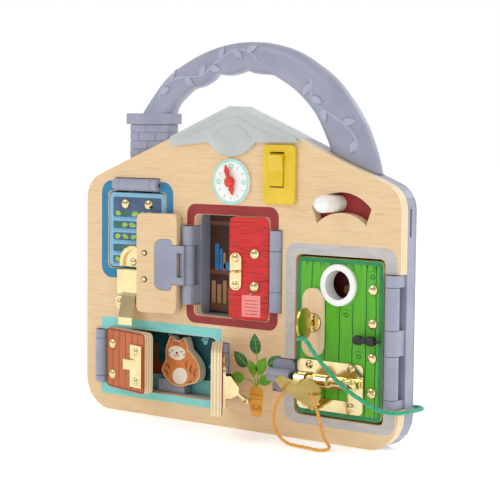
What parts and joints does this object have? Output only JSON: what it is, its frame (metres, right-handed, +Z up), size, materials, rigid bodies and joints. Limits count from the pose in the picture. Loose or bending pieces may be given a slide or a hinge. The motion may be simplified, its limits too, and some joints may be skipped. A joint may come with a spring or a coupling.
{
  "type": "lock board",
  "caption": "Wooden house-front lock board with hinged doors, latches, bolt, keys on cords, clock and switch, on a plastic shell with a carry handle.",
  "frame": {"origin": "middle of the board's bottom edge, at mid depth of the back shell, on the surface it stands on", "axes": "+Z up, -Y out of the painted front, +X to the right seen from the front"},
  "size_m": [0.3068, 0.0857, 0.2956],
  "materials": {
    "birch_ply": "clear-coated birch plywood",
    "shell_plastic": "satin lavender-grey moulded plastic",
    "frosted_plastic": "frosted translucent plastic",
    "circuit_board": "circuit board with a lamp",
    "yellow_plastic": "smooth yellow plastic",
    "dial_plastic": "white dial with an aqua ring",
    "red_plastic": "smooth red plastic",
    "red_card": "dark red printed board",
    "white_plastic": "smooth white plastic",
    "steel": "plain steel",
    "brass": "polished plate",
    "dull_brass": "satin brass",
    "blue_paint": "plywood printed blue",
    "red_paint": "plywood printed red",
    "green_paint": "plywood printed green",
    "orange_paint": "plywood printed orange",
    "black_plastic": "black plastic",
    "orange_cord": "braided orange cord",
    "green_cord": "braided green cord"
  },
  "bodies": {
    "board": {"back_shell": "shell_plastic", "back_cover": "shell_plastic", "carry_handle": "shell_plastic", "front_panel": "birch_ply", "battery_cover": "shell_plastic", "lamp_cover": "frosted_plastic", "lamp_board": "circuit_board", "clock_dial": "dial_plastic", "switch_plate": "yellow_plastic", "sign_screw": "steel", "latch_base": "brass", "figure_cradle": "shell_plastic", "shutter_pin": "steel", "window_left_pin": "steel", "window_right_pin": "steel", "pet_left_pin": "steel", "pet_right_pin": "steel", "entry_pin": "steel", "key_cord": "green_cord"},
    "shutter": {"shutter_board": "blue_paint", "shutter_leaf": "shell_plastic", "shutter_catch": "brass"},
    "latch": {"latch_lever": "brass"},
    "window_left": {"window_left_board": "red_paint", "window_left_leaf": "shell_plastic", "hook_plate": "brass"},
    "hook": {"window_hook": "brass"},
    "window_right": {"window_right_board": "red_paint", "window_right_leaf": "shell_plastic", "staple_plate": "brass"},
    "entry_door": {"entry_board": "green_paint", "entry_leaf_lower": "shell_plastic", "entry_leaf_upper": "shell_plastic", "porthole_ring": "white_plastic", "key_plate": "birch_ply", "lock_cylinder": "brass", "bolt_plate": "brass", "cord_stop": "black_plastic"},
    "bolt": {"bolt_rod": "brass"},
    "key": {"lock_key": "dull_brass"},
    "heart": {"heart_key": "dull_brass", "heart_cord": "orange_cord"},
    "pet_left": {"pet_left_board": "orange_paint", "pet_left_leaf": "shell_plastic", "strike_plate": "brass"},
    "pet_right": {"pet_right_board": "orange_paint", "pet_right_leaf": "shell_plastic", "pet_catch": "brass"},
    "clasp": {"pet_lever": "brass"},
    "hours": {"hour_hand": "red_plastic"},
    "minutes": {"minute_hand": "red_plastic"},
    "rocker": {"switch_rocker": "yellow_plastic"},
    "sign": {"sign_sector": "red_card", "sign_peg": "white_plastic"},
    "figure": {"rocking_figure": "orange_paint"}
  },
  "joints": [
    {"name": "shutter_hinge", "type": "hinge", "parent": "board", "child": "shutter", "pos_m": [-0.0955, -0.0147, 0.1845], "axis": [-1, 0, 0], "range_deg": [0, 1.5]},
    {"name": "latch_hinge", "type": "hinge", "parent": "board", "child": "latch", "pos_m": [-0.098, -0.0183, 0.1152], "axis": [-1, 0, 0], "range_deg": [0, 95]},
    {"name": "window_left_hinge", "type": "hinge", "parent": "board", "child": "window_left", "pos_m": [-0.0423, -0.0147, 0.1235], "axis": [0, 0, -1], "range_deg": [-165, 0]},
    {"name": "hook_pivot", "type": "hinge", "parent": "window_left", "child": "hook", "pos_m": [-0.07653, -0.0187, 0.12175], "axis": [0.2588, -0.9659, 0], "range_deg": [-40, 0]},
    {"name": "window_right_hinge", "type": "hinge", "parent": "board", "child": "window_right", "pos_m": [0.042, -0.0147, 0.1235], "axis": [0, 0, 1], "range_deg": [-7, 113]},
    {"name": "entry_hinge", "type": "hinge", "parent": "board", "child": "entry_door", "pos_m": [0.1435, -0.0147, 0.079], "axis": [0, 0, 1], "range_deg": [0, 110], "deforming": ["key_cord"]},
    {"name": "bolt_slide", "type": "slide", "parent": "entry_door", "child": "bolt", "axis": [-1, 0, 0], "range_m": [0, 0.018]},
    {"name": "key_turn", "type": "hinge", "parent": "entry_door", "child": "key", "pos_m": [0.0783, -0.0147, 0.0886], "axis": [0, 1, 0], "range_deg": [0, 90], "deforming": ["key_cord"]},
    {"name": "heart_slide", "type": "slide", "parent": "entry_door", "child": "heart", "axis": [0, -1, 0], "range_m": [0, 0.01]},
    {"name": "pet_left_hinge", "type": "hinge", "parent": "board", "child": "pet_left", "pos_m": [-0.1335, -0.0147, 0.0436], "axis": [0, 0, -1], "range_deg": [-15, 120]},
    {"name": "pet_right_hinge", "type": "hinge", "parent": "board", "child": "pet_right", "pos_m": [-0.0069, -0.0147, 0.0436], "axis": [0, 0, 1], "range_deg": [-127, 10]},
    {"name": "clasp_pivot", "type": "hinge", "parent": "pet_right", "child": "clasp", "pos_m": [0.02003, -0.03698, 0.0349], "axis": [0.6018, -0.7986, 0], "range_deg": [-20, 60]},
    {"name": "hour_turn", "type": "hinge", "parent": "board", "child": "hours", "pos_m": [0.0002, -0.0182, 0.1894], "axis": [0, 1, 0], "continuous": true},
    {"name": "minute_turn", "type": "hinge", "parent": "board", "child": "minutes", "pos_m": [0.0002, -0.0195, 0.1894], "axis": [0, 1, 0], "continuous": true},
    {"name": "rocker_pivot", "type": "hinge", "parent": "board", "child": "rocker", "pos_m": [0.04415, -0.0137, 0.19955], "axis": [1, 0, 0], "range_deg": [-10, 0]},
    {"name": "sign_swing", "type": "hinge", "parent": "board", "child": "sign", "pos_m": [0.0993, -0.006, 0.145], "axis": [0, 1, 0], "range_deg": [-10, 39]},
    {"name": "figure_rock", "type": "hinge", "parent": "board", "child": "figure", "pos_m": [-0.059, -0.002, 0.043], "axis": [0, 1, 0], "range_deg": [-10, 10]}
  ]
}
